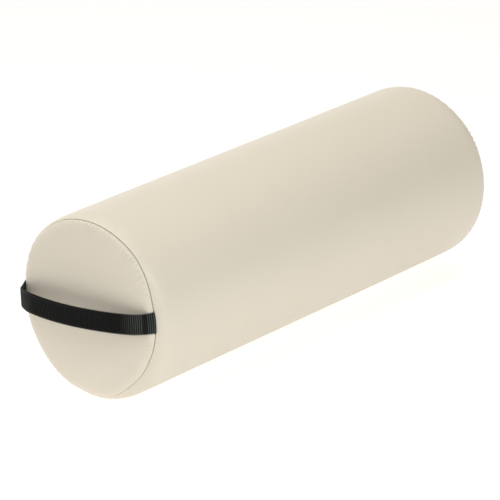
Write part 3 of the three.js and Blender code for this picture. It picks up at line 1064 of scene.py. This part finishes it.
def strap_section(wave):
    """Across the strap, from edge to edge: each point's share of half the width, and how far
    both faces stand off the middle line, where wave is 1 on a rib and -1 between two."""
    share = np.concatenate([[-1], np.linspace(-0.985, 0.985, 25), [1]])
    from_edge = (1 - np.abs(share)) * STRAP_WIDTH / 2
    ribbed = smooth_step(from_edge, 1.9 * MM, 2.8 * MM)
    selvage = 0.12 * MM * np.exp(-(((from_edge - 1.4 * MM) / (0.7 * MM)) ** 2))
    thick = STRAP_THICKNESS / 2 * np.where(from_edge > 0, 1.0, 0.45)
    return share, thick + RIB_HEIGHT * wave[:, None] * ribbed + selvage


def strap_points(line, at, wave):
    """The strap's rings of points at these distances along its line, with each point's share
    of half the width."""
    lengths = path_lengths(line)
    out = np.interp(at, lengths, line[:, 0])
    across = np.interp(at, lengths, line[:, 1])
    tangent = unit(np.stack([np.gradient(out, at), np.gradient(across, at)], axis=1))
    normal = np.stack([tangent[:, 1], -tangent[:, 0]], axis=1)
    share, lift = strap_section(wave)
    bend = smooth_step(across, *BEND_START) * (1 - smooth_step(across, *BEND_END))
    half_width = STRAP_WIDTH / 2 + EDGE_WAVE * wave - BEND_PINCH * bend
    z = HANDLE_Z + share * half_width[:, None]
    cup = (1 - smooth_step(out, 0, 22 * MM))[:, None] * np.sign(across)[:, None]
    y_shift = (np.sqrt(SEAM_RADIUS**2 - (z - AXIS_Z) ** 2) - SEAM_RADIUS) * cup

    def face(direction):
        x = -HALF - (out[:, None] + normal[:, :1] * lift * direction)
        y = across[:, None] + normal[:, 1:] * lift * direction + y_shift
        return np.stack([x, y, z], axis=-1)

    rings = np.concatenate([face(1), face(-1)[:, ::-1]], axis=1)
    return rings, np.append(share, share[::-1])


def make_strap():
    """The whole strap as one ribbed band, from one sewn end to the other."""
    steps_per_rib = 8
    line = spline(np.array(STRAP_LINE) * MM, 40)
    length = path_lengths(line)[-1]
    count = int(length / RIB_PITCH * steps_per_rib)
    at = np.linspace(0, length, count)
    rings, share = strap_points(line, at, np.cos(at / RIB_PITCH * 2 * math.pi))
    columns = len(share)
    faces = [face[::-1] for face in tube_faces(count, columns)]
    webbing = webbing_material(length)
    strap = new_piece("handle_webbing", rings, faces, webbing)
    set_weave(strap, np.repeat(at, columns), np.tile(share * STRAP_WIDTH / 2, count))
    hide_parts("handle_strap", "handle_end_left", "handle_end_right")
    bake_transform(strap)


def make_tack(name, node, side, thread):
    """Close stitching that holds the strap's end inside the seam."""
    reach = STRAP_WIDTH / 2 - 2 * MM
    lean_x, lean_y = 0.6, 0.8  # of the strap, where it goes into the seam
    z = np.linspace(-reach, reach, TACK_ROWS * 2) + HANDLE_Z
    sway = np.tile([-TACK_SWAY, TACK_SWAY], TACK_ROWS)
    end = np.array(STRAP_LINE[0 if side < 0 else -1]) * MM
    inner = np.array(STRAP_LINE[1 if side < 0 else -2]) * MM
    along = unit(inner - end)
    outward = np.array([-along[1], abs(along[0])])
    middle = (end + inner) / 2 + outward * (STRAP_THICKNESS / 2 + 0.25 * MM) * (1, side)
    x = -HALF - middle[0] - sway * lean_x
    y = middle[1] + side * sway * lean_y
    path = np.stack([x, y, z], axis=1)
    away = np.tile([lean_y, side * lean_x, 0.0], (len(z), 1))
    make_stitches(name, node, path, away, TACK_STITCH, thread)


# ---------- zip


def zip_point(x, across, out):
    """Points of the zip: along it, across it towards its lower side, and out from the axis."""
    y = out * math.cos(ZIP_ANGLE) + across * math.sin(ZIP_ANGLE)
    z = AXIS_Z + out * math.sin(ZIP_ANGLE) - across * math.cos(ZIP_ANGLE)
    return np.stack(np.broadcast_arrays(x, y, z), axis=-1)


def make_tape(name, node, side, tape):
    """One woven tape, thicker along the edge that carries the coil."""
    x = np.linspace(-TAPE_HALF, TAPE_HALF, 120)[:, None]
    start, end = TAPE_ACROSS
    across = start + (end - start) * TAPE_SHARES
    thick = TAPE_THICKNESS / 2 * TAPE_THICKNESSES
    ripple = 0.06 * MM * np.sin(x * 90)
    above = zip_point(x, side * across, TAPE_RADIUS + thick + ripple)
    below = zip_point(x, side * across, TAPE_RADIUS - thick + ripple)
    ring = np.concatenate([above, below[:, ::-1]], axis=1)
    columns = ring.shape[1]
    faces = tube_faces(len(x), columns)
    if side > 0:
        faces = [face[::-1] for face in faces]
    piece = new_piece(name, ring, faces, tape)
    set_weave(piece, np.repeat(x, columns), np.tile(np.append(across, across[::-1]), len(x)))
    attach(piece, "roller")
    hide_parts(node)


def make_coil(name, node, side, coil):
    """One side's coil, whose turns reach past the middle between those of the other side."""
    turns = int(2 * COIL_HALF / COIL_PITCH) - 1
    steps, sides = 12, 5
    turn = np.arange(turns * steps + 1) / steps
    phase = 2 * math.pi * turn
    start = -COIL_HALF + COIL_PITCH * (0.75 if side > 0 else 0.25)
    x = start + COIL_PITCH * turn
    across = side * (COIL_MIDDLE - COIL_REACH * np.cos(phase))
    out = COIL_RADIUS + COIL_RISE * np.sin(phase)
    path = zip_point(x, across, out)
    tangent = unit(np.gradient(path, axis=0))
    centre = zip_point(x, side * COIL_MIDDLE, COIL_RADIUS)
    normal = unit(path - centre)
    rings = rings_around(path, normal, np.cross(tangent, normal), COIL_WIRE, sides)
    faces = tube_faces(len(path), sides)
    piece = new_piece(name, rings, faces, coil)
    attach(piece, "roller")
    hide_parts(node)


def make_zip_stitches(name, node, side, thread):
    """The row that sews the cover to one tape."""
    x = np.linspace(-SLOT_HALF - 2 * MM, SLOT_HALF + 2 * MM, 400)
    angle = np.full(len(x), ZIP_ANGLE - side * STITCH_ACROSS / RADIUS)
    surface = RADIUS + unevenness(x, angle) - stitch_groove(x, angle)
    path = round_point(x, angle, surface)
    outward = round_direction(np.zeros(len(x)), angle, 1.0)
    make_stitches(name, node, path, outward, ZIP_STITCH, thread)


def make_metal(name, node, body, metal, rounding):
    """A metal piece with the CAD part's shape, its edges rounded as they are when cast."""
    shape = bmesh.new()
    shape.from_mesh(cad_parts[node].data)
    bmesh.ops.remove_doubles(shape, verts=shape.verts, dist=0.001 * MM)
    bmesh.ops.dissolve_limit(
        shape, angle_limit=math.radians(2), verts=shape.verts, edges=shape.edges
    )
    sharp = [edge for edge in shape.edges if edge.calc_face_angle(0) > math.radians(25)]
    bmesh.ops.bevel(
        shape, geom=sharp, offset=rounding, segments=2, profile=0.5, affect="EDGES", clamp_overlap=True
    )
    mesh = bpy.data.meshes.new(name)
    shape.to_mesh(mesh)
    shape.free()
    piece = show_mesh(name, mesh, metal)
    soften = piece.modifiers.new("even_normals", "WEIGHTED_NORMAL")
    soften.keep_sharp = True
    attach(piece, body)
    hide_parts(node)


# ---------- the bolster

make_camera()
make_light()
make_floor()

vinyl = vinyl_material()
thread = thread_material("thread", (0.42, 0.37, 0.29), (0.56, 0.5, 0.4))
black_thread = thread_material("thread_black", (0.006, 0.006, 0.006), (0.02, 0.02, 0.02))
foam = foam_material()
fibre = fibre_material()
tape = zip_tape_material()
coil = coil_material()
metal = metal_material()

for side, end in ((-1, "front"), (1, "rear")):
    make_end_panel(end + "_end_panel", "cover_" + end + "_end", side, vinyl)
    make_pad(end + "_wadding", end + "_end_pad", side, fibre)
    make_seam_thread(end + "_seam_stitches", end + "_seam_thread", side, thread)
make_tube(vinyl)
make_core(foam)
make_wrap(fibre)

make_strap()
make_tack("handle_stitches_left", "handle_tack_left", -1, black_thread)
make_tack("handle_stitches_right", "handle_tack_right", 1, black_thread)

for side, row in ((-1, "upper"), (1, "lower")):
    make_tape("tape_" + row, "zip_tape_" + row, side, tape)
    make_coil("coil_" + row, "zip_coil_" + row, side, coil)
    make_zip_stitches("topstitch_" + row, "zip_stitch_" + row, side, thread)
    make_metal("top_stop_" + row, "zip_top_stop_" + row, "roller", metal, 0.4 * MM)
make_metal("bottom_stop", "zip_bottom_stop", "roller", metal, 0.4 * MM)
make_metal("slider_body", "zip_slider", "slider", metal, 0.25 * MM)
make_metal("pull_tab", "zip_pull", "pull", metal, 0.25 * MM)
